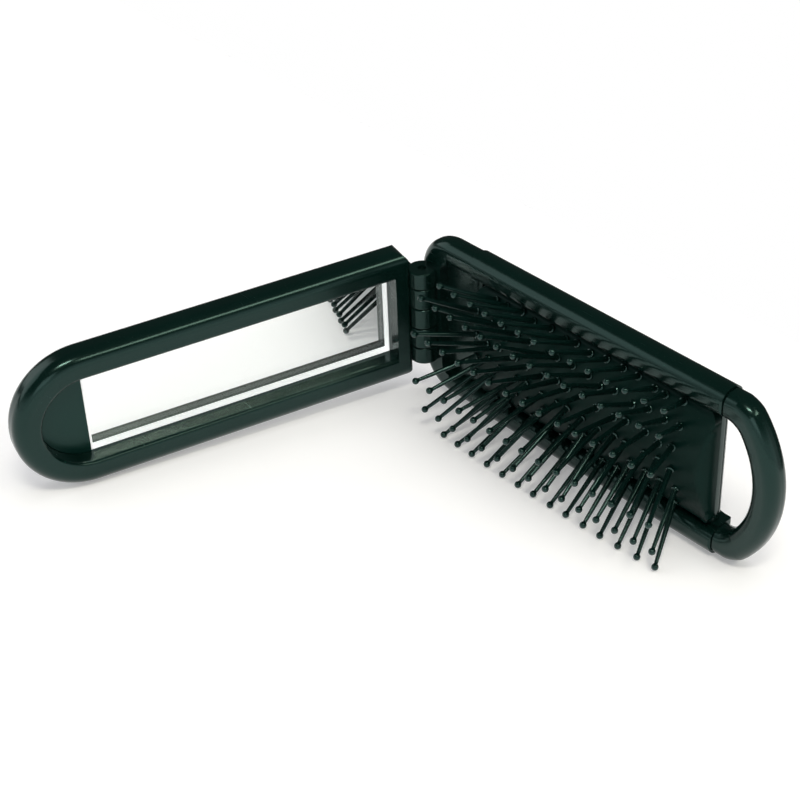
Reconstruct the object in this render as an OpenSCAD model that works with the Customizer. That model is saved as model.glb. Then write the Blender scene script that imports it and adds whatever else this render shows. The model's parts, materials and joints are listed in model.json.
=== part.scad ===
// Folding pocket hairbrush with a mirror in its lid.
//
// The two halves are joined by a five-knuckle hinge and stand on their long sides, so the hinge axis
// is vertical (+Z). Each half is drawn in its own half frame: X runs from the hinge axis to the far
// end, Y out of the inner face, Z across the width. The brush half lies along +X with its pins
// towards -Y, and the lid stands open by lid_angle. Units are millimetres.

/* [Lid] */
// Angle between the two halves
lid_angle = 103.6; // [20:0.1:170]
// Hinge axis to the round end of the lid
lid_length = 93.9; // [85:0.1:105]
// Width of the lid
lid_width = 32.4; // [28:0.1:36]
// Thickness of the lid
lid_depth = 7.2; // [6.6:0.1:9]
// How far the lid's rim stands in front of the hinge axis
lid_rise = 0.1; // [-0.5:0.05:0.4]
// Radius of the lid's outer edges
lid_edge = 2.8; // [1.5:0.1:3.2]
// Width of the rim round the mirror
rim_width = 5.8; // [4.5:0.1:7]
// Radius of the rim's inner edge
rim_lip = 0.9; // [0.4:0.1:1.5]
// Hinge axis to the flat end of the lid
lid_reach = 2.8; // [2.4:0.1:3.4]
// Corner radius at the lid's hinge end
lid_corner = 3.2; // [2:0.1:6]
// Radius of that end's front edge
lid_end_front = 1; // [0.5:0.1:2]
// Radius of that end's back edge
lid_end_back = 2.4; // [1:0.1:2.8]
// Hinge axis to the saddle behind the barrel
saddle_reach = 0.6; // [0.4:0.1:2]
// Step from the lid's back to the back of that saddle
saddle_step = 0.8; // [0.4:0.1:1.5]
// Radius of the saddle's back edge
saddle_edge = 1.8; // [0.5:0.1:2]
// Width of the rim between that end and the mirror
hinge_rim = 3.7; // [2.5:0.1:5]

/* [Mirror] */
// Depth of the glass below the rim
mirror_depth = 4.0; // [3:0.1:4.4]
// Thickness of the glass
glass = 1.8; // [1:0.1:2]
// Thickness of the adhesive sheet behind it
adhesive = 0.3; // [0.1:0.05:0.5]
// Length of the end panel's straight sides, from the glass to its half-round part
panel_straight = 0.1; // [0:0.1:20]

/* [Brush half] */
// Hinge axis to the end of the loop
brush_length = 96.4; // [92:0.1:110]
// Width of the middle section
brush_width = 40.4; // [38:0.1:46]
// Thickness of the middle section
brush_depth = 6.6; // [6.2:0.1:8]
// How far the middle section lies behind the hinge axis
brush_drop = 0.8; // [0.4:0.05:2]
// Radius of the middle section's back edges
back_edge = 3.2; // [2:0.1:3.3]
// Radius of the middle section's front edges
front_edge = 2.9; // [1:0.1:2.9]
// Hinge axis to the seam at the hinge end
near_seam = 14.2; // [13:0.1:18]
// Hinge axis to the seam at the loop
far_seam = 83; // [82.6:0.1:84]
// Hinge axis to the round nose of the middle section inside the loop
nose_end = 81.3; // [78:0.1:82]
// Radius of that nose's two edges
nose_edge = 3.1; // [1.5:0.1:3.2]
// Radius of the corners beside the nose
nose_corner = 2.6; // [1:0.1:3]
// Gap between the nose's end and the cushion's end above it
nose_gap = 0.15; // [0.1:0.05:0.4]
// Width of an open seam
seam = 0.25; // [0.1:0.05:0.5]
// Radius of the middle section's edges at its seams
seam_edge = 0.5; // [0.2:0.1:1]
// Step from the middle section down to its two ends, at the sides, front and back
end_step = 0.45; // [0.2:0.05:0.8]
// Radius of the end pieces' edges
end_edge = 2.5; // [1:0.1:2.7]
// How far the hinge end's two ears reach past the hinge axis
ear_reach = 2.3; // [0:0.1:2.3]
// Hinge axis to the hinge end's face behind the barrel
hinge_face = 0.25; // [0.2:0.05:0.5]
// How far the ears come over the ends of the barrel
ear_over = 0.5; // [0.1:0.1:1.5]
// Corner radius of the hinge end
hinge_corner = 9; // [3:0.1:10]
// Depth of the recess that runs from the hinge to the pin bed
hinge_recess = 2.2; // [1:0.1:2.6]
// Hinge axis to the start of that recess
recess_from = 4.4; // [4.3:0.1:7]
// Corner radius of that recess
recess_corner = 2; // [0.5:0.1:3]

/* [Loop] */
// Radius of the loop's end curve
loop_radius = 27; // [24:0.5:40]
// Width of the loop's bar
loop_bar = 6.2; // [5:0.1:7]
// Radius of the loop's two outer corners
loop_corner = 8; // [5:0.5:12]
// Radius of the two corners of its hole
hole_corner = 5; // [3:0.5:6]

/* [Pin bed] */
// Width of each side rail beside the pin bed
rail = 5.9; // [5:0.1:7]
// Radius of the rails' inner lips
rail_lip = 1.9; // [0.5:0.1:2.1]
// Wall left at each end of the pin bed
bed_wall = 1.2; // [1:0.1:2]
// Corner radius of the pin bed
bed_corner = 2; // [1:0.1:3]
// Thickness of the middle section's back wall
back_wall = 1.4; // [1:0.1:2]
// Thickness of the plate under the cushion
plate = 0.9; // [0.6:0.1:1.2]
// Height of the cushion's crown in front of the hinge axis
crown = 0.3; // [-0.5:0.1:1.5]
// Radius of the cushion's crown across the width
crown_radius = 36; // [25:1:60]
// Radius of the cushion's shoulders along its sides
shoulder = 2; // [1:0.1:2.4]
// Radius of the cushion's edge at the hinge end
near_shoulder = 1; // [0.5:0.1:2]
// Radius of the cushion's edge at the loop end
far_shoulder = 3.1; // [1:0.1:3.3]
// Corner radius of the cushion
cushion_corner = 4.2; // [2.5:0.1:6]
// Gap between the cushion and the rails
bed_gap = 0.4; // [0.2:0.05:0.8]

/* [Pins] */
// Length of a pin in front of the cushion
pin_length = 14.4; // [11:0.1:16]
// Depth of a pin in the cushion
pin_root = 1.6; // [1:0.1:1.8]
// Diameter of a pin at the cushion
pin_base_d = 1.3; // [0.9:0.05:1.5]
// Diameter of a pin under its ball
pin_tip_d = 0.85; // [0.5:0.05:0.95]
// Diameter of the ball on a pin
ball_d = 1.5; // [1:0.05:1.8]
// Diameter of the collar at the foot of a pin
collar_d = 1.9; // [1.5:0.05:2.2]
// Height of that collar
collar = 0.5; // [0.3:0.05:0.8]
// Distance between pins along a row, at the cushion
pin_pitch = 4.0; // [3.4:0.1:4.8]
// Distance between the rows, at the cushion
row_pitch = 4.9; // [4.2:0.1:5]
// Distance from the cushion's end at the hinge to the first pin
near_margin = 1.2; // [1.1:0.1:4]
// Distance from the last pin to the cushion's end at the loop
far_margin = 8; // [5:0.1:12]
// Outward lean of the two inner rows
lean_inner = 15; // [0:0.5:20]
// Outward lean of the two middle rows
lean_middle = 29; // [15:0.5:29.5]
// Outward lean of the two outer rows
lean_outer = 29; // [15:0.5:29.5]
// Lean of the first and last pins along their row
fan = 23; // [0:0.5:26]

/* [Hinge] */
// Radius of the knuckles
knuckle_r = 3.2; // [2.6:0.1:3.3]
// Height of the five knuckles together
barrel = 23.4; // [18:0.1:30]
// Share of a full knuckle that the two outer ones have
outer_share = 0.8; // [0.5:0.05:1]
// Gap between two knuckles
knuckle_gap = 0.15; // [0.1:0.05:0.4]
// Radius of the hinge pin
hinge_pin_r = 0.9; // [0.6:0.05:1.2]
// Radial clearance of the hinge pin
running_fit = 0.05; // [0.02:0.01:0.1]
// Radius of the knuckles' rims
knuckle_rim = 0.35; // [0.1:0.05:0.6]
// Radial clearance between a knuckle and the pocket it turns in
pocket_gap = 0.3; // [0.3:0.05:0.5]
// How deep the hinge pin's ends sit inside the outer knuckles
pin_inset = 1.2; // [0.5:0.1:2]

/* [Chassis] */
// Height of the two bars that join the ends through the rails
bar_h = 2.6; // [2:0.1:3]
// Thickness of those bars
bar_t = 2.4; // [1.5:0.1:2.6]
// How far a bar reaches into each end piece
bar_reach = 4; // [2:0.1:5]
// Clearance round a bar, and round the pieces laid in a recess
fit = 0.1; // [0.05:0.05:0.2]

/* [Hidden] */
$fn = 64;
eps = 0.01;
over = 1;
// How far a curve's fillet stands proud of its tangent place, so that the faces cross each other
proud = 0.1;

black_plastic = [0.05, 0.07, 0.06];
black_rubber = [0.04, 0.05, 0.05];
silver = [0.8, 0.82, 0.84];

mid_z = brush_width / 2;

// Lid: front and back planes, and the recess that holds the mirror
lid_back = lid_rise - lid_depth;
lid_r = lid_width / 2;
lid_centre = lid_length - lid_r;
recess_r = lid_r - rim_width;
glass_front = lid_rise - mirror_depth;
recess_floor = glass_front - glass - adhesive;
recess_start = lid_reach + hinge_rim;
mirror_start = recess_start + fit;
mirror_end = lid_centre - panel_straight;
mirror_length = mirror_end - mirror_start;

// Brush half: front and back planes of the middle section and of its end pieces
shell_front = -brush_drop;
shell_back = shell_front - brush_depth;
end_front = shell_front - end_step;
end_back = shell_back + end_step;
end_width = brush_width - 2 * end_step;
end_depth = end_front - end_back;

// Pin bed inside the middle section
bed_start = near_seam + bed_wall;
bed_end = nose_end - bed_wall;
bed_width = brush_width - 2 * rail;
bed_floor = shell_back + back_wall;
plate_front = bed_floor + plate;
cushion_start = bed_start + bed_gap;
cushion_end = nose_end - nose_gap;
cushion_half = bed_width / 2 - bed_gap;
plate_corner = bed_corner - fit;
sill = end_front - hinge_recess;
ledge = sill + fit;

// Loop and its hole: middle of the end curve, and half the hole's height
loop_centre = brush_length - loop_radius;
hole_half = end_width / 2 - loop_bar;
hole_radius = loop_radius - loop_bar;

// Pins
leans = [-lean_outer, -lean_middle, -lean_inner, lean_inner, lean_middle, lean_outer];
rows = len(leans);
first_pin = cushion_start + near_margin;
long_count = floor((cushion_end - far_margin - first_pin) / pin_pitch) + 1;
half_run = (long_count - 1) * pin_pitch / 2;
pins_mid = first_pin + half_run;

// Bars through the rails
bar_n = (shell_front + shell_back) / 2;
bar_inset = rail / 2;

// Hinge: outer knuckles are a little shorter than the three between them
knuckle_h = (barrel - 4 * knuckle_gap) / (3 + 2 * outer_share);
knuckle_heights = [outer_share * knuckle_h, knuckle_h, knuckle_h, knuckle_h, outer_share * knuckle_h];
knuckle_recess = knuckle_gap + 0.1;

// Middle of the whole object's box, from the far corners of both halves
far_corner = lid_length - lid_edge;
low_x = -(-cos(lid_angle) * far_corner - sin(lid_angle) * (lid_back + lid_edge) + lid_edge);
low_y = -(sin(lid_angle) * far_corner - cos(lid_angle) * (lid_rise - lid_edge) + lid_edge);
centre = [(low_x + brush_length) / 2, (low_y - shell_back) / 2];

// Height of the cushion's surface at a distance z from its middle line
function crown_at(z) = crown - crown_radius + sqrt(pow(crown_radius, 2) - pow(z, 2));
function knuckle_z(i) = mid_z - barrel / 2 + (i == 0 ? 0 : knuckle_gap * i
                        + [for (s = 0, k = 0; k <= i; s = s + knuckle_heights[k], k = k + 1) s][i]);
function row_z(row) = (row - (rows - 1) / 2) * row_pitch;
function is_outer(row) = row == 0 || row == rows - 1;
function row_start(row) = is_outer(row) ? first_pin + pin_pitch : first_pin;
function row_count(row) = is_outer(row) ? long_count - 1 : long_count;

// ---- placing ----

module in_lid() {
    translate([-centre[0], -centre[1], 0])
        rotate([0, 0, -lid_angle])
            children();
}

module in_brush() {
    translate([-centre[0], -centre[1], 0])
        mirror([0, 1, 0])
            children();
}

// Stands an outline in X and Z up along Y, from one depth to another
module along_y(from, to) {
    translate([0, to, 0])
        rotate([90, 0, 0])
            linear_extrude(to - from)
                children();
}

// Runs a section in Y and Z along X
module along_x(from, to) {
    translate([from, 0, 0])
        rotate([90, 0, 90])
            linear_extrude(to - from)
                children();
}

// ---- shared outlines ----

// What a fillet of radius r takes off a corner at the origin that opens to +X and +Y
module corner_waste(r) {
    difference() {
        translate([-over, -over])
            square(r + over);
        translate([r, r])
            circle(r);
    }
}

// Rectangle from low to high with its own radius at each corner:
// [low x low y, high x low y, low x high y, high x high y]
module soft_rect(low, high, radii) {
    difference() {
        translate(low)
            square(high - low);
        for (i = [0, 1], j = [0, 1])
            if (radii[i + 2 * j] > 0)
                translate([i ? high[0] : low[0], j ? high[1] : low[1]])
                    mirror([i, 0])
                        mirror([0, j])
                            corner_waste(radii[i + 2 * j]);
    }
}

// D-shaped outline in X and Z round the lid's middle line
module d_outline(start, r) {
    translate([start, mid_z - r])
        square([lid_centre - start, 2 * r]);
    translate([lid_centre, mid_z])
        circle(r);
}

// What the rounding of an inner lip takes off a corner at the origin, open to +X and -Y
module lip_waste(r) {
    difference() {
        translate([-r, -eps])
            square([r + eps, r + eps]);
        translate([-r, r])
            circle(r);
    }
}

// Turns a section in Y and Z about an axis along Y, from one angle above +X to another
module loop_arc(from, to) {
    rotate([90, 0, 0])
        mirror([0, 0, 1])
            rotate([0, 0, from])
                rotate_extrude(angle = to - from)
                    rotate([0, 0, 90])
                        mirror([0, 1, 0])
                            children();
}

// What a fillet takes off the corner between a straight edge along X and an end curve: half is the
// edge's distance from the middle line, radius the curve's and r the fillet's. The child is the
// section that the fillet turns.
module curve_corner_waste(half, radius, r) {
    up = half + proud - r;
    along = sqrt(pow(radius + proud - r, 2) - pow(up, 2));
    translate([loop_centre + along, 0, up])
        difference() {
            loop_arc(atan2(up, along), 90)
                translate([end_back - 2 * over, 0])
                    square([end_depth + 4 * over, 2 * r]);
            loop_arc(0, 360)
                children();
        }
}

// What a round corner with soft edges takes off a slab that starts at the origin, lies between two
// heights and reaches half a width out along Z
module slab_corner_waste(half, r, low, high, edge) {
    difference() {
        translate([-over, low - over, half - r])
            cube([r + over, high - low + 2 * over, r + over]);
        translate([r, 0, half - r])
            loop_arc(0, 360)
                soft_rect([low, 0], [high, r], [0, 0, edge, edge]);
    }
}

// ---- hinge ----

// Knuckles of one half: first names the lowest one, and every second one follows
module knuckles(first) {
    for (i = [first : 2 : 4])
        translate([0, 0, knuckle_z(i)])
            rotate_extrude()
                soft_rect([0, 0], [knuckle_r, knuckle_heights[i]], [0, knuckle_rim, 0, knuckle_rim]);
}

// Pockets in which the knuckles of the other half turn
module knuckle_pockets(first) {
    for (i = [first : 2 : 4])
        translate([0, 0, knuckle_z(i) - knuckle_recess])
            cylinder(r = knuckle_r + pocket_gap, h = knuckle_heights[i] + 2 * knuckle_recess);
}

// Webs that join the lid's knuckles to its flat end
module knuckle_webs(first) {
    for (i = [first : 2 : 4])
        translate([0, -knuckle_r, knuckle_z(i) + knuckle_rim])
            cube([lid_reach + lid_edge, knuckle_r - hinge_pin_r / 2, knuckle_heights[i] - 2 * knuckle_rim]);
}

module pin_bore() {
    translate([0, 0, knuckle_z(0) - over])
        cylinder(r = hinge_pin_r + running_fit, h = barrel + 2 * over);
}

module hinge_pin() {
    color(silver)
        in_brush()
            translate([0, 0, knuckle_z(0) + pin_inset])
                cylinder(r = hinge_pin_r, h = barrel - 2 * pin_inset);
}

// ---- brush half ----

// Solid form of the two end pieces: a soft-edged slab across the half
module end_section() {
    soft_rect([end_back, end_step], [end_front, brush_width - end_step],
              [end_edge, end_edge, end_edge, end_edge]);
}

module bar_section(gap) {
    for (z = [bar_inset, brush_width - bar_inset])
        translate([bar_n - bar_t / 2 - gap, z - bar_h / 2 - gap])
            square([bar_t + 2 * gap, bar_h + 2 * gap]);
}

// Outer form of the hinge end: round corners, soft edges and a notch for the barrel between two ears
module hinge_end_form() {
    notch = barrel - 2 * ear_over;
    difference() {
        intersection() {
            along_x(-ear_reach, near_seam - seam)
                end_section();
            translate([0, 0, -over])
                linear_extrude(brush_width + 2 * over)
                    soft_rect([-ear_reach, end_back], [near_seam, end_front], [end_edge, 0, end_edge, 0]);
        }
        for (side = [0, 1])
            translate([-ear_reach, 0, mid_z])
                mirror([0, 0, side])
                    slab_corner_waste(end_width / 2, hinge_corner, end_back, end_front, end_edge);
        translate([-ear_reach - over, end_back - over, mid_z - notch / 2])
            cube([ear_reach + hinge_face + over, end_depth + 2 * over, notch]);
    }
}

module hinge_end() {
    color(black_plastic)
        in_brush()
            difference() {
                union() {
                    difference() {
                        hinge_end_form();
                        knuckle_pockets(1);
                        along_y(sill, end_front + over)
                            soft_rect([recess_from, rail], [near_seam, brush_width - rail],
                                      [recess_corner, 0, recess_corner, 0]);
                        rail_lip_waste(recess_from + recess_corner, near_seam, end_front);
                    }
                    knuckles(0);
                }
                pin_bore();
                along_x(near_seam - seam - bar_reach, near_seam)
                    bar_section(fit);
            }
}

// What the rounding of the rails' inner lips takes away, below a front plane
module rail_lip_waste(from, to, front) {
    for (side = [0, 1])
        translate([0, 0, mid_z])
            mirror([0, 0, side])
                along_x(from, to)
                    translate([front, bed_width / 2])
                        lip_waste(rail_lip);
}

// Outer form of the loop: a soft-edged strip across the half, cut round by a soft-edged disc
module loop_form() {
    difference() {
        intersection() {
            along_x(far_seam, brush_length)
                end_section();
            translate([loop_centre, 0, mid_z])
                loop_arc(-90, 90)
                    rim_section(loop_radius);
        }
        for (side = [0, 1])
            translate([0, 0, mid_z])
                mirror([0, 0, side])
                    curve_corner_waste(end_width / 2, loop_radius, loop_corner)
                        rim_section(loop_corner);
    }
}

// Half of a soft-edged disc's section
module rim_section(r) {
    soft_rect([end_back, 0], [end_front, r], [0, 0, end_edge, end_edge]);
}

// Half of the hole's section, flared at both faces: Y across the thickness, Z out to the wall
module hole_section(out) {
    translate([end_back - over, 0])
        square([end_depth + 2 * over, out]);
    translate([end_front, out])
        lip_waste(end_edge);
    translate([end_back, out])
        mirror([1, 0])
            lip_waste(end_edge);
}

// D-shaped hole through the loop
module loop_hole() {
    difference() {
        intersection() {
            for (side = [0, 1])
                translate([0, 0, mid_z])
                    mirror([0, 0, side])
                        along_x(far_seam - over, brush_length)
                            hole_section(hole_half);
            translate([loop_centre, 0, mid_z])
                loop_arc(-90, 90)
                    hole_section(hole_radius);
        }
        for (side = [0, 1])
            translate([0, 0, mid_z])
                mirror([0, 0, side])
                    curve_corner_waste(hole_half, hole_radius, hole_corner)
                        hole_section(hole_corner);
    }
}

module loop_end() {
    color(black_plastic)
        in_brush()
            difference() {
                loop_form();
                loop_hole();
                along_x(far_seam - 1, far_seam + bar_reach)
                    bar_section(fit);
            }
}

// Section of the middle section: a soft-edged slab with the pin bed let in from the front
module shell_section() {
    difference() {
        soft_rect([shell_back, 0], [shell_front, brush_width],
                  [back_edge, front_edge, back_edge, front_edge]);
        bar_section(fit);
    }
}

// Full-round nose of the middle section between the loop's bars, as what is cut away round it
module nose_waste() {
    difference() {
        along_y(shell_back - over, shell_front + over)
            soft_rect([nose_end - nose_edge, mid_z - hole_half], [far_seam + over, mid_z + hole_half],
                      [nose_corner, 0, nose_corner, 0]);
        linear_extrude(brush_width)
            soft_rect([nose_end - nose_edge - over, shell_back], [nose_end, shell_front],
                      [0, nose_edge, 0, nose_edge]);
    }
}

module middle_shell() {
    color(black_plastic)
        in_brush()
            difference() {
                intersection() {
                    along_x(near_seam, far_seam - seam)
                        shell_section();
                    translate([0, 0, -over])
                        linear_extrude(brush_width + 2 * over)
                            soft_rect([near_seam, shell_back], [far_seam - seam, shell_front],
                                      [seam_edge, seam_edge, seam_edge, seam_edge]);
                }
                nose_waste();
                along_y(bed_floor, shell_front + over)
                    soft_rect([bed_start, rail], [bed_end, brush_width - rail],
                              [bed_corner, bed_corner, bed_corner, bed_corner]);
                along_y(sill, shell_front + over)
                    translate([near_seam - over, rail])
                        square([far_seam - near_seam + 2 * over, bed_width]);
                rail_lip_waste(near_seam - over, far_seam, shell_front);
            }
}

module upper_bar() {
    color(black_plastic)
        in_brush()
            chassis_bar(brush_width - bar_inset);
}

module lower_bar() {
    color(black_plastic)
        in_brush()
            chassis_bar(bar_inset);
}

module chassis_bar(z) {
    translate([near_seam - seam - bar_reach + fit, bar_n - bar_t / 2, z - bar_h / 2])
        cube([far_seam - near_seam + seam + 2 * (bar_reach - fit), bar_t, bar_h]);
}

module pin_plate() {
    color(black_plastic)
        in_brush()
            along_y(bed_floor, plate_front)
                soft_rect([bed_start + fit, rail + fit], [bed_end - fit, brush_width - rail - fit],
                          [plate_corner, plate_corner, plate_corner, plate_corner]);
}

// Section of the cushion in Y and Z: a crown that runs into round shoulders. The cushion lies in the
// bed and comes over the bed's end wall at the loop.
module cushion_section() {
    centre_z = cushion_half - shoulder;
    reach = crown_radius - shoulder;
    shoulder_y = crown - crown_radius + sqrt(pow(reach, 2) - pow(centre_z, 2));
    lean = asin(centre_z / reach);
    wedge = 2 * shoulder;
    difference() {
        intersection() {
            translate([plate_front, mid_z - cushion_half])
                square([crown_radius, 2 * cushion_half]);
            translate([crown - crown_radius, mid_z])
                circle(crown_radius, $fn = 128);
        }
        for (side = [0, 1])
            translate([0, mid_z])
                mirror([0, side])
                    translate([shoulder_y, centre_z])
                        difference() {
                            polygon([[0, 0], wedge * [cos(lean), sin(lean)], wedge * [1, 2], [0, wedge]]);
                            circle(shoulder);
                        }
    }
}

module cushion() {
    color(black_rubber)
        in_brush()
            intersection() {
                along_x(cushion_start, cushion_end)
                    cushion_section();
                along_y(plate_front, crown + over)
                    soft_rect([cushion_start, mid_z - cushion_half], [cushion_end, mid_z + cushion_half],
                              [cushion_corner, cushion_corner, cushion_corner, cushion_corner]);
                linear_extrude(brush_width)
                    difference() {
                        soft_rect([cushion_start, plate_front - over], [cushion_end, crown],
                                  [0, 0, near_shoulder, far_shoulder]);
                        translate([bed_end - bed_gap, plate_front - 2 * over])
                            square([far_seam - bed_end, ledge - plate_front + 2 * over]);
                    }
            }
}

// One pin, standing on the origin along +Z
module pin() {
    translate([0, 0, -pin_root])
        cylinder(d = pin_base_d, h = pin_root + eps, $fn = 24);
    cylinder(d = collar_d, h = collar, $fn = 24);
    cylinder(d1 = pin_base_d, d2 = pin_tip_d, h = pin_length, $fn = 24);
    translate([0, 0, pin_length])
        sphere(d = ball_d, $fn = 24);
}

// One row of pins, leaning out across the bed and fanning along it
module pin_row(row) {
    z = row_z(row);
    color(black_plastic)
        in_brush()
            for (i = [0 : row_count(row) - 1])
                let (x = row_start(row) + i * pin_pitch)
                    translate([x, crown_at(z), mid_z + z])
                        rotate([0, 0, -fan * (x - pins_mid) / half_run])
                            rotate([leans[row] - 90, 0, 0])
                                pin();
}

module pin_row_1() {
    pin_row(0);
}

module pin_row_2() {
    pin_row(1);
}

module pin_row_3() {
    pin_row(2);
}

module pin_row_4() {
    pin_row(3);
}

module pin_row_5() {
    pin_row(4);
}

module pin_row_6() {
    pin_row(5);
}

// ---- lid ----

// Outer form of the lid: straight sides, a flat hinge end with round corners and a half-round far end
module lid_form() {
    intersection() {
        union() {
            along_x(lid_reach, lid_centre)
                soft_rect([lid_back, mid_z - lid_r], [lid_rise, mid_z + lid_r],
                          [lid_edge, lid_edge, lid_edge, lid_edge]);
            translate([lid_centre, 0, mid_z])
                loop_arc(-90, 90)
                    soft_rect([lid_back, 0], [lid_rise, lid_r], [0, 0, lid_edge, lid_edge]);
        }
        along_y(lid_back - over, lid_rise + over)
            soft_rect([lid_reach, mid_z - lid_r], [lid_length + over, mid_z + lid_r],
                      [lid_corner, 0, lid_corner, 0]);
        linear_extrude(brush_width)
            soft_rect([lid_reach, lid_back], [lid_length + over, lid_rise],
                      [lid_end_back, 0, lid_end_front, 0]);
    }
}

// Saddle behind the barrel, between the brush half's two ears
module lid_saddle() {
    height = barrel - 2 * ear_over - 2 * pocket_gap;
    translate([0, 0, mid_z - height / 2])
        linear_extrude(height)
            soft_rect([saddle_reach, lid_back + saddle_step], [lid_reach + lid_edge, -hinge_pin_r],
                      [saddle_edge, 0, 0, 0]);
}

module lid_shell() {
    color(black_plastic)
        in_lid()
            difference() {
                union() {
                    difference() {
                        union() {
                            lid_form();
                            lid_saddle();
                        }
                        knuckle_pockets(0);
                    }
                    knuckles(1);
                    knuckle_webs(1);
                }
                pin_bore();
                along_y(recess_floor, lid_rise + over)
                    d_outline(recess_start, recess_r);
                rim_lip_waste();
            }
}

// What the rounding of the rim's inner edge takes away
module rim_lip_waste() {
    for (side = [0, 1])
        translate([0, 0, mid_z])
            mirror([0, 0, side])
                along_x(recess_start, lid_centre)
                    lip_section();
    translate([lid_centre, 0, mid_z])
        loop_arc(-90, 90)
            lip_section();
}

module lip_section() {
    translate([lid_rise, recess_r])
        lip_waste(rim_lip);
}

module mirror_adhesive() {
    color([0.6, 0.6, 0.58])
        in_lid()
            along_y(recess_floor, recess_floor + adhesive)
                translate([mirror_start, mid_z - recess_r + fit])
                    square([mirror_length, 2 * (recess_r - fit)]);
}

module mirror_glass() {
    color(silver)
        in_lid()
            along_y(recess_floor + adhesive, glass_front)
                translate([mirror_start, mid_z - recess_r + fit])
                    square([mirror_length, 2 * (recess_r - fit)]);
}

// Panel that fills the round end of the recess, level with the glass
module end_panel() {
    color(black_plastic)
        in_lid()
            along_y(recess_floor, glass_front)
                difference() {
                    d_outline(recess_start, recess_r - fit);
                    translate([0, mid_z - lid_r])
                        square([mirror_end + fit, lid_width]);
                }
}

hinge_end();
middle_shell();
loop_end();
upper_bar();
lower_bar();
pin_plate();
cushion();
pin_row_1();
pin_row_2();
pin_row_3();
pin_row_4();
pin_row_5();
pin_row_6();
hinge_pin();
lid_shell();
mirror_adhesive();
mirror_glass();
end_panel();
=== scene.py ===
# %% [markdown]
# # Folding hairbrush with a mirror lid
#
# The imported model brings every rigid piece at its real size: the two halves, the five-knuckle hinge,
# the loop, the mirror and the rows of pins. This script gives those pieces their finish and models
# what the solids only block out: the rubber cushion, the nylon pins and the silvered glass. All
# numbers are metres, in the model's own frame.

# %% Load the frame
import json
import math
import random

import bmesh
import bpy
from mathutils import Matrix, Vector
from mathutils.bvhtree import BVHTree


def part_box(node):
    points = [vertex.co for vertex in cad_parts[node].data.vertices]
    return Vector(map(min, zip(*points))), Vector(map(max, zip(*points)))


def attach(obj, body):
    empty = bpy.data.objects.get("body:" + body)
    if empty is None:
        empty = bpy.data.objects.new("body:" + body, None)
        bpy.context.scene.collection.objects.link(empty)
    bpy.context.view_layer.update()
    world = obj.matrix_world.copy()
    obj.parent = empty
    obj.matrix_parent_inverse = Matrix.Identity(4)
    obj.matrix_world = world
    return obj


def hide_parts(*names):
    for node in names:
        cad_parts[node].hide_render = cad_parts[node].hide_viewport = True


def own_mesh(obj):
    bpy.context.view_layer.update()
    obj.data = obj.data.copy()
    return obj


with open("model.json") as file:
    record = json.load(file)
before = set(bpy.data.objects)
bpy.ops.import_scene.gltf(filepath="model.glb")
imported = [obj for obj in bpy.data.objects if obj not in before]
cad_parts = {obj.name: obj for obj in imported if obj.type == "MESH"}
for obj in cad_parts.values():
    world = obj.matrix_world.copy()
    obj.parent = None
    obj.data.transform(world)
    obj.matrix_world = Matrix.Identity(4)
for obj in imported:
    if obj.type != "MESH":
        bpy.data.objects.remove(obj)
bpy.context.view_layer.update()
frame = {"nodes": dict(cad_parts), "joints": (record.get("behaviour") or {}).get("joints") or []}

MM = 0.001
random.seed(7)

# %% [markdown]
# ## Where the two halves lie
#
# Everything hangs on the hinge axis, so its place is read from the hinge's joint. The lid's direction
# comes from the long edge of the glass. With those two, a piece on the lid can be placed by three
# plain distances: along the lid, out of its mirror, and up.

# %% Axes of the lid
SAME_HEIGHT = 0.1 * MM
EDGE_AT_LEAST = 20 * MM
hinge = Vector(next(j["pos_m"] for j in frame["joints"] if j["name"] == "lid_close"))


def points_of(node):
    """The corner points of a CAD node, in metres."""
    return [v.co.copy() for v in frame["nodes"][node].data.vertices]


def lid_axes():
    """Unit vectors along the lid and out of its mirror."""
    corners = points_of("mirror_glass")
    top = max(p.z for p in corners)
    upper = [p for p in corners if p.z > top - SAME_HEIGHT]
    far = max(upper, key=lambda p: (p - hinge).xy.length)
    near = min((p for p in upper if (p - far).xy.length > EDGE_AT_LEAST),
               key=lambda p: (p - far).xy.length)
    along = far - near
    along.z = 0
    along.normalize()
    return along, Vector((-along.y, along.x, 0))


lid_along, lid_out = lid_axes()
print("lid direction", [round(c, 3) for c in lid_along], "opening",
      round(math.degrees(Vector((1, 0)).angle(lid_along.xy)), 1), "degrees")

# %% [markdown]
# ## Camera
#
# A long lens from above and in front of the open angle keeps both halves nearly undistorted, which is
# how a small product is usually shown. The camera is placed with its three directions written out,
# because a lens this long magnifies any small error in where it points.

# %% Camera
CAMERA_FROM_HINGE = Vector((257.84, -227.40, 247.67)) * MM
CAMERA_FORWARD = Vector((-0.6148, 0.5236, -0.5898)).normalized()
CAMERA_ROLL = math.radians(2.42)
LENS = 84.02
SENSOR = 36
NEAREST, FARTHEST = 0.01, 20


def place(name, data):
    """A new object in the scene, for a mesh, a lamp or the camera."""
    thing = bpy.data.objects.new(name, data)
    bpy.context.collection.objects.link(thing)
    return thing


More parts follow.
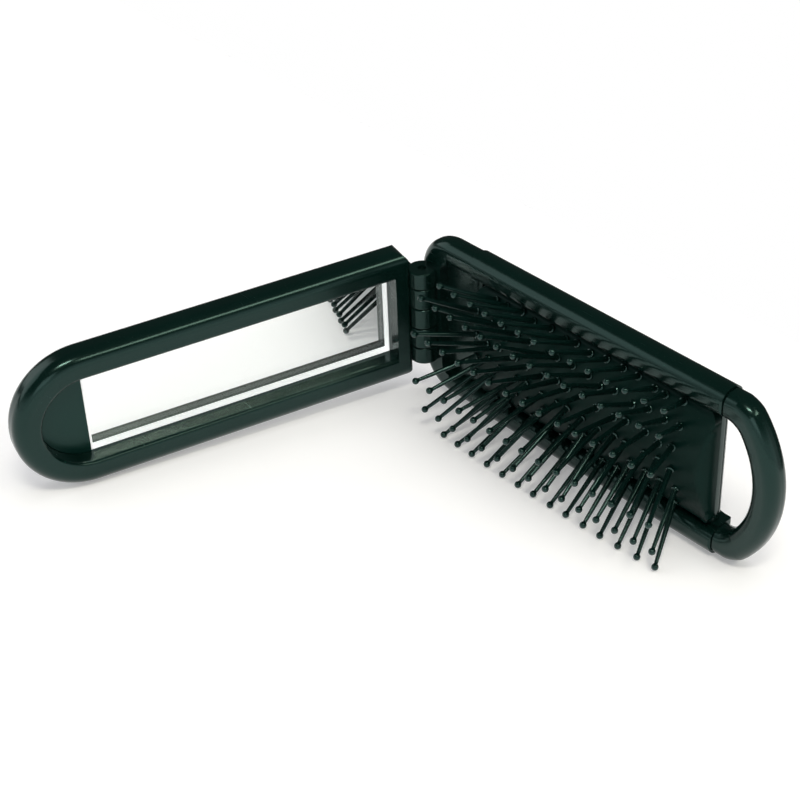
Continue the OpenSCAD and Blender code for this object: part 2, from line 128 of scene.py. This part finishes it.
def make_camera():
    level = Vector((CAMERA_FORWARD.y, -CAMERA_FORWARD.x, 0)).normalized()
    below = CAMERA_FORWARD.cross(level)
    right = level * math.cos(CAMERA_ROLL) + below * math.sin(CAMERA_ROLL)
    down = below * math.cos(CAMERA_ROLL) - level * math.sin(CAMERA_ROLL)
    data = bpy.data.cameras.new("camera")
    data.lens = LENS
    data.sensor_width = SENSOR
    data.clip_start = NEAREST
    data.clip_end = FARTHEST
    made = place("camera", data)
    turn = Matrix((right, -down, -CAMERA_FORWARD)).transposed().to_4x4()
    made.matrix_world = Matrix.Translation(Vector((hinge.x, hinge.y, 0)) + CAMERA_FROM_HINGE) @ turn
    bpy.context.scene.camera = made
    return made


camera = make_camera()
print("camera", [round(c, 3) for c in camera.location], "m")

# %% [markdown]
# ## Helpers for shader nodes
#
# Every finish below is a few nodes wired together. They could be wired one by one each time, but the
# same few kinds come back again and again, so each gets a helper that takes plain numbers or another
# node's output as they come and gives its own output back.


# %% Node helpers
def new_material(name):
    """An empty material and its node tree."""
    material = bpy.data.materials.new(name)
    material.use_nodes = True
    material.node_tree.nodes.clear()
    return material, material.node_tree


def feed(tree, socket, value):
    """Links a node's output to a socket, or writes a plain value on it."""
    if isinstance(value, bpy.types.NodeSocket):
        tree.links.new(value, socket)
    else:
        socket.default_value = value


def reckon(tree, operation, *values):
    """A math node on two or three values."""
    node = tree.nodes.new("ShaderNodeMath")
    node.operation = operation
    for socket, value in zip(node.inputs, values):
        feed(tree, socket, value)
    return node.outputs[0]


def remap(tree, value, low, high, to_low=0.0, to_high=1.0, kind="LINEAR"):
    """Carries the range from low to high over to another range, and holds it there."""
    node = tree.nodes.new("ShaderNodeMapRange")
    node.interpolation_type = kind
    for name, given in zip(("Value", "From Min", "From Max", "To Min", "To Max"),
                           (value, low, high, to_low, to_high)):
        feed(tree, node.inputs[name], given)
    return node.outputs["Result"]


def mix(tree, factor, low, high, kind="RGBA"):
    """Goes from one colour or value to another."""
    node = tree.nodes.new("ShaderNodeMix")
    node.data_type = kind
    for name, given in (("Factor", factor), ("A", low), ("B", high)):
        feed(tree, node.inputs[name], given)
    return node.outputs["Result"]


def noise(tree, scale, detail=2, where=None):
    """Cloudy noise between 0 and 1."""
    node = tree.nodes.new("ShaderNodeTexNoise")
    node.inputs["Detail"].default_value = detail
    feed(tree, node.inputs["Scale"], scale)
    if where:
        tree.links.new(where, node.inputs["Vector"])
    return node.outputs["Fac"]


def principled(tree, **sockets):
    """A Principled shader on the material's output; a socket's spaces are written as underscores."""
    shader = tree.nodes.new("ShaderNodeBsdfPrincipled")
    for name, value in sockets.items():
        feed(tree, shader.inputs[name.replace("_", " ")], value)
    output = tree.nodes.new("ShaderNodeOutputMaterial")
    tree.links.new(shader.outputs[0], output.inputs["Surface"])


def bump(tree, height, strength, distance):
    """A small relief, as a normal."""
    node = tree.nodes.new("ShaderNodeBump")
    node.inputs["Strength"].default_value = strength
    node.inputs["Distance"].default_value = distance
    tree.links.new(height, node.inputs["Height"])
    return node.outputs["Normal"]


print("node helpers:", [f.__name__ for f in (reckon, remap, mix, noise, principled, bump)])

# %% [markdown]
# ## Table
#
# The brush stands on a white table that slopes a little and takes its soft shadow. A white that is
# only lit would need lamps strong enough to burn out the highlights, so the table also glows: a little
# for the camera near the brush, fully white far from it, and a little for what the mirror and the
# glossy plastic reflect. It ends close behind the brush, because the black plastic would otherwise
# reflect a pale table there and turn grey.

# %% Table
WHITE = (1, 1, 1, 1)
TABLE_COLOUR = (0.82, 0.82, 0.84, 1)
GLOW_NEAR = 0.23
GLOW_FAR = 1.0
GLOW_RISES = (0.20, 0.80)
GLOW_REFLECTED = 0.28
TABLE_HALF = 1.5
TABLE_BACK = 0.12
TABLE_SLOPE = 0.048
TABLE_DROP = 0.55 * MM
TABLE_DROP_AT = 45 * MM


def glossy_or_through(tree, path):
    """1 for a ray that was reflected or went through glass."""
    return reckon(tree, "MAXIMUM", path.outputs["Is Glossy Ray"], path.outputs["Is Transmission Ray"])


def table_material():
    material, tree = new_material("white_table")
    diffuse = tree.nodes.new("ShaderNodeBsdfDiffuse")
    diffuse.inputs["Color"].default_value = TABLE_COLOUR
    glow = tree.nodes.new("ShaderNodeEmission")
    glow.inputs["Color"].default_value = WHITE
    path = tree.nodes.new("ShaderNodeLightPath")
    spot = tree.nodes.new("ShaderNodeTexCoord")
    distance = tree.nodes.new("ShaderNodeVectorMath")
    distance.operation = "LENGTH"
    tree.links.new(spot.outputs["Object"], distance.inputs[0])
    seen = remap(tree, distance.outputs["Value"], *GLOW_RISES, GLOW_NEAR, GLOW_FAR, "SMOOTHSTEP")
    reflected = reckon(tree, "MULTIPLY", glossy_or_through(tree, path), GLOW_REFLECTED)
    strength = reckon(tree, "MULTIPLY_ADD", path.outputs["Is Camera Ray"], seen, reflected)
    tree.links.new(strength, glow.inputs["Strength"])
    both = tree.nodes.new("ShaderNodeAddShader")
    tree.links.new(diffuse.outputs[0], both.inputs[0])
    tree.links.new(glow.outputs[0], both.inputs[1])
    output = tree.nodes.new("ShaderNodeOutputMaterial")
    tree.links.new(both.outputs[0], output.inputs["Surface"])
    return material


def make_table():
    corners = [(-TABLE_HALF, -TABLE_HALF, 0), (TABLE_HALF, -TABLE_HALF, 0),
               (TABLE_HALF, TABLE_BACK, 0), (-TABLE_HALF, TABLE_BACK, 0)]
    mesh = bpy.data.meshes.new("table")
    mesh.from_pydata(corners, [], [(0, 1, 2, 3)])
    mesh.materials.append(table_material())
    made = place("table", mesh)
    made.rotation_euler.x = -math.atan(TABLE_SLOPE)
    made.location.z = TABLE_SLOPE * TABLE_DROP_AT - TABLE_DROP
    return made


table = make_table()
print("table", round(table.dimensions.x, 1), "m wide")

# %% [markdown]
# ## Lamps
#
# Black plastic shows its shape by its highlights, not by its colour. Two soft lamps and a fill carry
# the plain light; the large overhead one is left out of reflections, where it would lay a veil on
# everything that faces up. The small warm key and the long strip draw the highlights on the loop's
# corner and along the rims.

# %% Lamps
NEUTRAL = (1, 1, 1)
AIM = Vector((0, 0, 0.02))
LAMPS = {
    "overhead": ((0.1, 0.15, 0.9), (0.9, 0.9), 3.2, NEUTRAL),
    "left_window": ((-0.8, -0.5, 0.5), (0.95, 0.70), 2.8, NEUTRAL),
    "right_fill": ((0.7, -0.7, 0.45), (0.5, 0.4), 1.0, NEUTRAL),
    "key": ((0.33, -0.24, 0.8), (0.24, 0.10), 2.4, (1, 0.97, 0.84)),
    "rim_strip": ((0.60, 0.19, 0.66), (0.5, 0.14), 1.8, (1, 0.96, 0.80)),
}


def softbox(name, spot, size, power, colour):
    """A rectangular lamp of a size in metres and a power in watts, turned to the brush."""
    data = bpy.data.lights.new(name, "AREA")
    data.shape = "RECTANGLE"
    data.size, data.size_y = size
    data.energy = power
    data.color = colour
    lamp = place(name, data)
    lamp.location = spot
    lamp.rotation_euler = (AIM - Vector(spot)).to_track_quat("-Z", "Y").to_euler()
    return lamp


lamps = {name: softbox(name, *values) for name, values in LAMPS.items()}
lamps["overhead"].visible_glossy = False
print("lamps:", sorted(lamps))

# %% [markdown]
# ## Surroundings
#
# The camera sees plain white all round. What the plastic and the mirror see is another matter: a room
# that is white only low down and towards one side. An even white room would turn the black plastic
# grey. Light Path tells the two apart, so the white background costs no light on the brush.

# %% Surroundings
BRIGHT_SIDE = (0.75, -0.66, 0.0)
SIDE_TURNS_BRIGHT = (-0.10, 0.40)
HEIGHT_TURNS_DARK = (0.10, 0.45)
DARK_ROOM = 0.05
ROOM_LIGHT = 0.30


def surroundings():
    world = bpy.data.worlds.new("surroundings")
    bpy.context.scene.world = world
    world.use_nodes = True
    tree = world.node_tree
    tree.nodes.clear()
    spot = tree.nodes.new("ShaderNodeTexCoord").outputs["Generated"]
    parts = tree.nodes.new("ShaderNodeSeparateXYZ")
    tree.links.new(spot, parts.inputs[0])
    towards = tree.nodes.new("ShaderNodeVectorMath")
    towards.operation = "DOT_PRODUCT"
    towards.inputs[1].default_value = BRIGHT_SIDE
    tree.links.new(spot, towards.inputs[0])
    low = remap(tree, parts.outputs["Z"], *HEIGHT_TURNS_DARK, 1.0, 0.0, "SMOOTHSTEP")
    side = remap(tree, towards.outputs["Value"], *SIDE_TURNS_BRIGHT, kind="SMOOTHSTEP")
    reflected = remap(tree, reckon(tree, "MULTIPLY", low, side), 0.0, 1.0, DARK_ROOM, 1.0)
    path = tree.nodes.new("ShaderNodeLightPath")
    room = mix(tree, glossy_or_through(tree, path), ROOM_LIGHT, reflected, "FLOAT")
    level = mix(tree, path.outputs["Is Camera Ray"], room, 1.0, "FLOAT")
    light = tree.nodes.new("ShaderNodeBackground")
    light.inputs["Color"].default_value = WHITE
    tree.links.new(level, light.inputs["Strength"])
    output = tree.nodes.new("ShaderNodeOutputWorld")
    tree.links.new(light.outputs[0], output.inputs["Surface"])


surroundings()
bpy.context.scene.view_settings.view_transform = "Standard"
print("world", bpy.context.scene.world.name, "with", len(bpy.context.scene.world.node_tree.nodes), "nodes")

# %% [markdown]
# ## Shared surface effects
#
# Moulded plastic is never perfectly even: it has faint flow, a little dust, and fine scratches from a
# handbag. Those are worked out once, in a node group that puts out only masks and a height, and each
# material uses them at its own strength.

# %% Node group for handling marks
DUST_SIZE = 2600
DUST_SHOWS = (0.70, 0.76)
SCRATCH_SIZE = 130
SCRATCH_SHOWS = (0.60, 0.72)
SCRATCH_TURN = (0.3, 0.5, 0.4)
SCRATCH_STRETCH = (1, 18, 14)
FLOW_SIZE = 90


def handling_marks():
    """Group with the outputs Dust, Scratches and Flow, each from 0 to 1."""
    group = bpy.data.node_groups.new("handling_marks", "ShaderNodeTree")
    scale = group.interface.new_socket("Scale", in_out="INPUT", socket_type="NodeSocketFloat")
    scale.default_value = 1.0
    for name in ("Dust", "Scratches", "Flow"):
        group.interface.new_socket(name, in_out="OUTPUT", socket_type="NodeSocketFloat")
    given = group.nodes.new("NodeGroupInput").outputs["Scale"]
    outside = group.nodes.new("NodeGroupOutput")
    spot = group.nodes.new("ShaderNodeTexCoord").outputs["Object"]
    drawn = group.nodes.new("ShaderNodeMapping")
    drawn.inputs["Rotation"].default_value = SCRATCH_TURN
    drawn.inputs["Scale"].default_value = SCRATCH_STRETCH
    group.links.new(spot, drawn.inputs["Vector"])

    dust = noise(group, reckon(group, "MULTIPLY", given, DUST_SIZE), 2, spot)
    hairs = noise(group, reckon(group, "MULTIPLY", given, SCRATCH_SIZE), 3, drawn.outputs["Vector"])
    flow = noise(group, reckon(group, "MULTIPLY", given, FLOW_SIZE), 4, spot)
    feed(group, outside.inputs["Dust"], remap(group, dust, *DUST_SHOWS))
    feed(group, outside.inputs["Scratches"], remap(group, hairs, *SCRATCH_SHOWS))
    feed(group, outside.inputs["Flow"], flow)
    return group


marks = handling_marks()


def marks_on(tree):
    """Places the group in a material and gives its outputs."""
    node = tree.nodes.new("ShaderNodeGroup")
    node.node_tree = marks
    return node.outputs


print("group", marks.name, "gives", [s.name for s in marks.interface.items_tree if s.in_out == "OUTPUT"])

# %% [markdown]
# ## Black plastics and rubber
#
# The shells are glossy black polystyrene with a faint green cast, polished by the mould. The pins are
# nylon, with a brighter gleam. The cushion is black rubber with a satin skin. All share one maker: a
# base colour that flow lightens slightly, dust on it, a roughness that scratches break up, and a
# shallow relief.

# %% Black finishes
GREEN_CAST = (0.58, 1.0, 0.93, 1)
DUST_COLOUR = (0.08, 0.11, 0.10, 1)
FLOW_DARK, FLOW_LIGHT = 0.8, 1.25


def black_finish(name, colour, specular, roughness, scratch, dust, ripple):
    material, tree = new_material(name)
    wear = marks_on(tree)
    dark, light = ((*[c * share for c in colour], 1) for share in (FLOW_DARK, FLOW_LIGHT))
    specks = reckon(tree, "MULTIPLY", wear["Dust"], dust)
    principled(
        tree,
        Base_Color=mix(tree, specks, mix(tree, wear["Flow"], dark, light), DUST_COLOUR),
        Metallic=0,
        Specular_IOR_Level=specular,
        Specular_Tint=GREEN_CAST,
        Roughness=reckon(tree, "MULTIPLY_ADD", wear["Scratches"], scratch, roughness),
        Normal=bump(tree, wear["Flow"], 1.0, ripple),
    )
    return material


shell_black = black_finish("glossy_black_shell", (0.0014, 0.0085, 0.0068), specular=0.40,
                           roughness=0.18, scratch=0.10, dust=0.15, ripple=0.06 * MM)
# The end panel gets the shells' black plastic with a lighter, greener base colour: painted light, for how
# bright the panel shows.
panel_black_painted_lighter = black_finish("panel_black_painted_lighter", (0.0012, 0.0140, 0.0110), specular=0.36,
                           roughness=0.28, scratch=0.10, dust=0.05, ripple=0.06 * MM)
pin_black = black_finish("nylon_pin_black", (0.0016, 0.0090, 0.0075), specular=0.55,
                         roughness=0.16, scratch=0.08, dust=0.0, ripple=0.03 * MM)
rubber_black = black_finish("cushion_rubber", (0.0008, 0.0100, 0.0078), specular=0.12,
                            roughness=0.38, scratch=0.12, dust=0.2, ripple=0.05 * MM)
print("black finishes:", [m.name for m in (shell_black, panel_black_painted_lighter, pin_black, rubber_black)])

# %% [markdown]
# ## Hinge pin and adhesive
#
# The hinge pin is drawn steel wire, a metal whose roughness only rises where it is scratched. The foam
# tape behind the glass is dull and pale, with fine pores that darken it in spots.

# %% Steel and foam tape
STEEL_COLOUR = (0.56, 0.57, 0.58, 1)
STEEL_ROUGHNESS, STEEL_SCRATCH = 0.25, 0.25
TAPE_PORE, TAPE_COLOUR = (0.50, 0.50, 0.47, 1), (0.70, 0.70, 0.67, 1)
TAPE_ROUGHNESS = 0.8
PORE_SIZE = 3000


def drawn_steel():
    material, tree = new_material("drawn_steel")
    scratches = marks_on(tree)["Scratches"]
    rough = reckon(tree, "MULTIPLY_ADD", scratches, STEEL_SCRATCH, STEEL_ROUGHNESS)
    principled(tree, Metallic=1, Base_Color=STEEL_COLOUR, Roughness=rough)
    return material


def foam_tape():
    material, tree = new_material("foam_tape")
    colour = mix(tree, noise(tree, PORE_SIZE), TAPE_PORE, TAPE_COLOUR)
    principled(tree, Roughness=TAPE_ROUGHNESS, Base_Color=colour)
    return material


steel = drawn_steel()
tape = foam_tape()
print("small finishes:", steel.name, tape.name)

# %% [markdown]
# ## Finishes on the solid pieces
#
# The shells, knuckles, loop, plate and bars keep their solids, which already have the right radii and
# the smooth shading of their curves. They only need their own material.

# %% Dress the solids
DRESS = {
    shell_black: ("hinge_end", "middle_shell", "loop_end", "upper_bar", "lower_bar", "pin_plate",
                  "lid_shell"),
    panel_black_painted_lighter: ("end_panel",),
    steel: ("hinge_pin",),
    tape: ("mirror_adhesive",),
}
for material, nodes in DRESS.items():
    for node in nodes:
        slots = frame["nodes"][node].data.materials
        slots.clear()
        slots.append(material)
print("dressed", sum(len(nodes) for nodes in DRESS.values()), "of", len(frame["nodes"]), "nodes")

# %% [markdown]
# ## Nylon pins
#
# Each pin is one moulding: a collar that stops it in the rubber, a slightly tapered shaft, a thin neck
# and a ball. It could be a cylinder with a sphere on it, but then the neck would have a hard line. A
# profile turned round the pin's own axis gives the soft neck, and a trace of bend in the shaft makes
# the rows look moulded and not drawn. The places come from the solids: each island of a row's mesh is
# one pin, and its two ends are read from it.


# %% Read the pins
def islands(node):
    """Groups of points of a mesh that hang together; points within a micrometre count as one."""
    mesh = frame["nodes"][node].data
    key = {}
    owner = []
    for vertex in mesh.vertices:
        spot = tuple(round(c * 1e6) for c in vertex.co)
        owner.append(key.setdefault(spot, len(key)))
    parent = list(range(len(key)))

    def root(i):
        while parent[i] != i:
            parent[i] = parent[parent[i]]
            i = parent[i]
        return i

    for edge in mesh.edges:
        a, b = (root(owner[v]) for v in edge.vertices)
        parent[a] = b
    groups = {}
    for index, vertex in enumerate(mesh.vertices):
        groups.setdefault(root(owner[index]), []).append(vertex.co.copy())
    return list(groups.values())


def pin_ends(points):
    """Root and tip of one pin: its two farthest points, root first."""
    start = points[0]
    one = max(points, key=lambda p: (p - start).length)
    two = max(points, key=lambda p: (p - one).length)
    return (one, two) if one.y > two.y else (two, one)


rows = {}
for node in sorted(n for n in frame["nodes"] if n.startswith("pin_row_")):
    rows[node] = sorted((pin_ends(p) for p in islands(node)), key=lambda e: e[0].x)
print("pins in each row:", {node: len(pins) for node, pins in rows.items()})

# %% [markdown]
# The profile is a list of rings, each with its distance from the root and its radius. The shaft tapers
# evenly, and the ball is an arc that starts at the neck's width and closes on the axis.

# %% Profile of a pin
PIN_ROOT = 1.6 * MM
COLLAR = ((0.0, 0.90), (0.15, 0.95), (0.38, 0.90), (0.52, 0.66))
SHAFT_STARTS = 1.0 * MM
SHAFT_THICK, SHAFT_THIN = 0.62 * MM, 0.41 * MM
SHAFT_STOPS = 0.95 * MM
NECK = ((0.72, 0.40), (0.62, 0.47))
BALL = 0.75 * MM
BALL_FROM, BALL_TO = math.radians(-48), math.radians(90)
RINGS = 8


def pin_profile(length):
    """Distance from the root and radius of each ring along one pin."""
    ball = length - BALL
    start, stop = PIN_ROOT + SHAFT_STARTS, ball - SHAFT_STOPS
    shares = [step / RINGS for step in range(RINGS + 1)]
    rings = [(0, 0), (0, SHAFT_THICK), (PIN_ROOT, SHAFT_THICK)]
    rings += [(PIN_ROOT + above * MM, radius * MM) for above, radius in COLLAR]
    rings += [(start + share * (stop - start), SHAFT_THICK + share * (SHAFT_THIN - SHAFT_THICK))
              for share in shares]
    rings += [(ball - before * MM, radius * MM) for before, radius in NECK]
    for share in shares:
        angle = BALL_FROM + share * (BALL_TO - BALL_FROM)
        rings.append((ball + BALL * math.sin(angle), BALL * max(math.cos(angle), 0.0)))
    return rings


print("a 14 mm pin has", len(pin_profile(14 * MM)), "rings")

# %% Build the pins
SIDES = 14
POINT = 0.01 * MM
BEND_SIDEWAYS, BEND_UP = 0.18, 0.12
PIN_SMOOTH = 40


def bridge(shape, low, high):
    """Joins two rings, or a ring and a point, with faces."""
    if len(low) == 1 and len(high) == 1:
        return
    for k in range(SIDES):
        n = (k + 1) % SIDES
        if len(low) == 1:
            shape.faces.new((low[0], high[n], high[k]))
        elif len(high) == 1:
            shape.faces.new((low[k], low[n], high[0]))
        else:
            shape.faces.new((low[k], low[n], high[n], high[k]))


def add_pin(shape, root, tip, bend):
    """Turns the profile round the line from root to tip, bent a little at the tip."""
    length = (tip - root).length
    axis = (tip - root).normalized()
    side = axis.cross(Vector((0, 0, 1))).normalized()
    up = side.cross(axis)
    turns = [2 * math.pi * k / SIDES for k in range(SIDES)]
    previous = None
    for along, radius in pin_profile(length):
        share = along / length
        centre = root + axis * along + (side * bend[0] + up * bend[1]) * share * share
        if radius < POINT:
            ring = [shape.verts.new(centre)]
        else:
            ring = [shape.verts.new(centre + (side * math.cos(a) + up * math.sin(a)) * radius)
                    for a in turns]
        if previous:
            bridge(shape, previous, ring)
        previous = ring


def finish_mesh(shape, name, materials, smooth_angle=None):
    """Makes an object from the shape, smooth up to an angle in degrees, or flat."""
    bmesh.ops.recalc_face_normals(shape, faces=shape.faces)
    mesh = bpy.data.meshes.new(name)
    shape.to_mesh(mesh)
    shape.free()
    for material in materials:
        mesh.materials.append(material)
    piece = place(name, mesh)
    if smooth_angle:
        mesh.polygons.foreach_set("use_smooth", [True] * len(mesh.polygons))
        mesh.set_sharp_from_angle(angle=math.radians(smooth_angle))
    return piece


pin_pieces = {}
for node, pins in rows.items():
    shape = bmesh.new()
    for root, tip in pins:
        bend = (random.uniform(-BEND_SIDEWAYS, BEND_SIDEWAYS) * MM, random.uniform(-BEND_UP, BEND_UP) * MM)
        add_pin(shape, root, tip, bend)
    pin_pieces[node] = finish_mesh(shape, node.replace("pin_row", "nylon_pins"), [pin_black], PIN_SMOOTH)
print("modelled", len(pin_pieces), "rows,", sum(len(p.data.polygons) for p in pin_pieces.values()), "faces")

# %% [markdown]
# When the lid closes, the nylon pins give way and sink into their cushion. Here each row only hangs on
# the brush half in place of its solid row, with a mesh of its own; its mean lean is worked out but not
# used.

# %% Hang the pins on the brush half
for node, piece in pin_pieces.items():
    root, tip = (sum(ends, Vector()) / len(ends) for ends in zip(*rows[node]))
    lean = tip - root
    lean.x = 0
    lean.normalize()
    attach(piece, "brush")
    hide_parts(node)
    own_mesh(piece)

# %% [markdown]
# ## Rubber cushion
#
# The cushion is a crowned block of rubber with round shoulders and small round corners, and the rubber
# dips a little round each pin. A subdivided block would shrink at its corners, so a fine grid is laid
# over the solid cushion. Each point takes its height by a ray from the front, at the place that it has
# on the solid's own wide corners, and is then set down on the tighter corners that show.

# %% Grid over the cushion
CELL = 0.5 * MM
INSET = 0.03 * MM
SOLID_CORNER = 4.2 * MM
SHOWN_CORNER = 2.4 * MM
RAY_START = 20 * MM
OFF_THE_SOLID = 3 * MM
DIMPLE_DEPTH = 0.12 * MM
DIMPLE_RADIUS = 1.0 * MM
DIMPLE_ENDS = 2.4 * MM


def rounded(u, v, size, radius):
    """Moves a point of a rectangle's corner squares into the corner's quarter circle."""
    across, along = (max(abs(c) - (s - radius), 0.0) / radius for c, s in zip((u, v), size))
    du = radius * across * (1 - math.sqrt(1 - along * along / 2))
    dv = radius * along * (1 - math.sqrt(1 - across * across / 2))
    return u - math.copysign(du, u), v - math.copysign(dv, v)


def dimple(x, z, feet):
    """How far the rubber dips at a point, from the pins near it."""
    gaps = (math.hypot(x - foot.x, z - foot.z) for foot in feet)
    return sum(DIMPLE_DEPTH * math.exp(-(gap / DIMPLE_RADIUS) ** 2) for gap in gaps if gap < DIMPLE_ENDS)


pin_feet = [root + (tip - root).normalized() * PIN_ROOT for pins in rows.values() for root, tip in pins]
print("pins through the cushion:", len(pin_feet))

# %% [markdown]
# The grid is drawn out by a hair over its last few millimetres, so that it comes right up to the end
# of the solid cushion and a little over. A skirt takes its rim down to the plate.

# %% Cushion
NOSE_STRETCH = 0.15 * MM
NOSE_LENGTH = 3 * MM
CUSHION_SMOOTH = 60


def cushion_grid(shape):
    """Adds the cushion's top to the shape."""
    solid = frame["nodes"]["cushion"]
    tree = BVHTree.FromObject(solid, bpy.context.evaluated_depsgraph_get())
    low, high = (Vector(c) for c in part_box("cushion"))
    centre, half = (low + high) / 2, (high - low) / 2
    size = (half.x - INSET, half.z - INSET)
    columns, lines = (2 * round(c / CELL) for c in size)
    missed = 0
    grid = []
    for i in range(columns + 1):
        column = []
        for j in range(lines + 1):
            square = size[0] * (2 * i / columns - 1), size[1] * (2 * j / lines - 1)
            u, v = rounded(*square, size, SOLID_CORNER)
            start = Vector((centre.x + u, low.y - RAY_START, centre.z + v))
            hit = tree.ray_cast(start, Vector((0, 1, 0)))[0]
            missed += hit is None
            y = hit.y if hit else low.y + OFF_THE_SOLID
            u, v = rounded(*square, size, SHOWN_CORNER)
            x = centre.x + u + NOSE_STRETCH * max(0.0, 1 + (u - size[0]) / NOSE_LENGTH)
            z = centre.z + v
            column.append(shape.verts.new((x, y + dimple(x, z, pin_feet), z)))
        grid.append(column)
    for left, right in zip(grid, grid[1:]):
        for j in range(lines):
            shape.faces.new((left[j], right[j], right[j + 1], left[j + 1]))
    print("points off the cushion:", missed)


def make_cushion():
    shape = bmesh.new()
    cushion_grid(shape)
    rim = [e for e in shape.edges if len(e.link_faces) == 1]
    skirt = bmesh.ops.extrude_edge_only(shape, edges=rim)["geom"]
    lowered = {v for v in skirt if isinstance(v, bmesh.types.BMVert)}
    for vertex in lowered:
        vertex.co.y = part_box("cushion")[1][1]
    floor_edges = [e for e in skirt if isinstance(e, bmesh.types.BMEdge) and lowered.issuperset(e.verts)]
    bmesh.ops.edgeloop_fill(shape, edges=floor_edges)
    piece = finish_mesh(shape, "rubber_cushion", [rubber_black], CUSHION_SMOOTH)
    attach(piece, "brush")
    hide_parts("cushion")
    return piece


cushion = make_cushion()
print("cushion", [round(d / MM, 1) for d in cushion.dimensions], "mm,", len(cushion.data.polygons), "faces")

# %% [markdown]
# ## Glass finishes
#
# A pocket mirror is a strip of float glass silvered on its back, with ground edges. The shine comes
# from the silver, nearly two millimetres behind the front, so the rim's inner wall shows twice: once
# itself and once reflected. A single mirror plane would lose that, so the glass is a clear slab with
# its own silvered back face and pale ground sides. The clear glass is smeared a little by fingers.

# %% Glass finishes
GLASS_COLOUR = (0.97, 0.99, 0.98, 1)
GLASS_IOR = 1.5
SMEAR_SIZE = 60
SMEAR_SHOWS = (0.45, 0.8)
SMEAR_ROUGHNESS = 0.012
SILVER_DARK, SILVER_LIGHT = (0.93, 0.94, 0.945, 1), (0.955, 0.96, 0.96, 1)
SILVER_CLOUDS = 40
CHIP_DARK = (0.55, 0.62, 0.60, 1)
CHIP_SIZE = 1800
CHIP_SHOWS = (0.38, 0.62)
CHIP_DEPTH = 0.08 * MM
EDGE_ROUGHNESS = 0.55
EDGE_GLOW = 0.60


def clear_glass():
    material, tree = new_material("clear_glass")
    rough = remap(tree, noise(tree, SMEAR_SIZE), *SMEAR_SHOWS, 0.0, SMEAR_ROUGHNESS)
    principled(tree, Base_Color=GLASS_COLOUR, Transmission_Weight=1, IOR=GLASS_IOR, Metallic=0,
               Roughness=rough)
    return material


def ground_edge():
    """Ground glass catches light from all round, which a glow of its own stands for here."""
    material, tree = new_material("ground_glass_edge")
    chips = noise(tree, CHIP_SIZE, 3)
    colour = mix(tree, remap(tree, chips, *CHIP_SHOWS), CHIP_DARK, GLASS_COLOUR)
    principled(tree, Roughness=EDGE_ROUGHNESS, Emission_Color=WHITE, Emission_Strength=EDGE_GLOW,
               Base_Color=colour, Normal=bump(tree, chips, 0.6, CHIP_DEPTH))
    return material


def silvering():
    material, tree = new_material("silvering")
    colour = mix(tree, noise(tree, SILVER_CLOUDS), SILVER_DARK, SILVER_LIGHT)
    principled(tree, Metallic=1, Roughness=0.0, Base_Color=colour)
    return material


glass_finishes = [clear_glass(), ground_edge(), silvering()]
CLEAR, GROUND, SILVERED = range(3)
print("glass finishes:", [m.name for m in glass_finishes])

# %% [markdown]
# ## Mirror
#
# The slab is placed by its distances along the lid, out of it and up, read from the solid glass. Its
# back stands a hair in front of the adhesive, because two faces in one place would fight each other,
# and its front edge is bevelled.

# %% Mirror glass
GLASS_OFF_TAPE = 0.02 * MM
GLASS_BEVEL = 0.35 * MM


def make_mirror():
    spots = points_of("mirror_glass")
    reach = [((p - hinge).dot(lid_along), (p - hinge).dot(lid_out), p.z) for p in spots]
    (a0, n0, z0), (a1, n1, z1) = (tuple(pick(c) for c in zip(*reach)) for pick in (min, max))
    n0 += GLASS_OFF_TAPE

    def spot(a, n, z):
        return Vector((hinge.x, hinge.y, 0)) + lid_along * a + lid_out * n + Vector((0, 0, z))

    shape = bmesh.new()
    loops = []
    for n, inset in ((n0, 0.0), (n1 - GLASS_BEVEL, 0.0), (n1, GLASS_BEVEL)):
        loops.append([shape.verts.new(spot(a, n, z)) for a, z in (
            (a0 + inset, z0 + inset), (a1 - inset, z0 + inset),
            (a1 - inset, z1 - inset), (a0 + inset, z1 - inset))])
    shape.faces.new(loops[0]).material_index = SILVERED
    shape.faces.new(loops[2]).material_index = CLEAR
    for low, high in zip(loops, loops[1:]):
        for k in range(4):
            n = (k + 1) % 4
            shape.faces.new((low[k], low[n], high[n], high[k])).material_index = GROUND
    piece = finish_mesh(shape, "silvered_glass", glass_finishes)
    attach(piece, "lid")
    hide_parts("mirror_glass")
    return [round(c / MM, 1) for c in (a1 - a0, z1 - z0, n1 - n0)]


print("mirror length, height and thickness", make_mirror(), "mm")
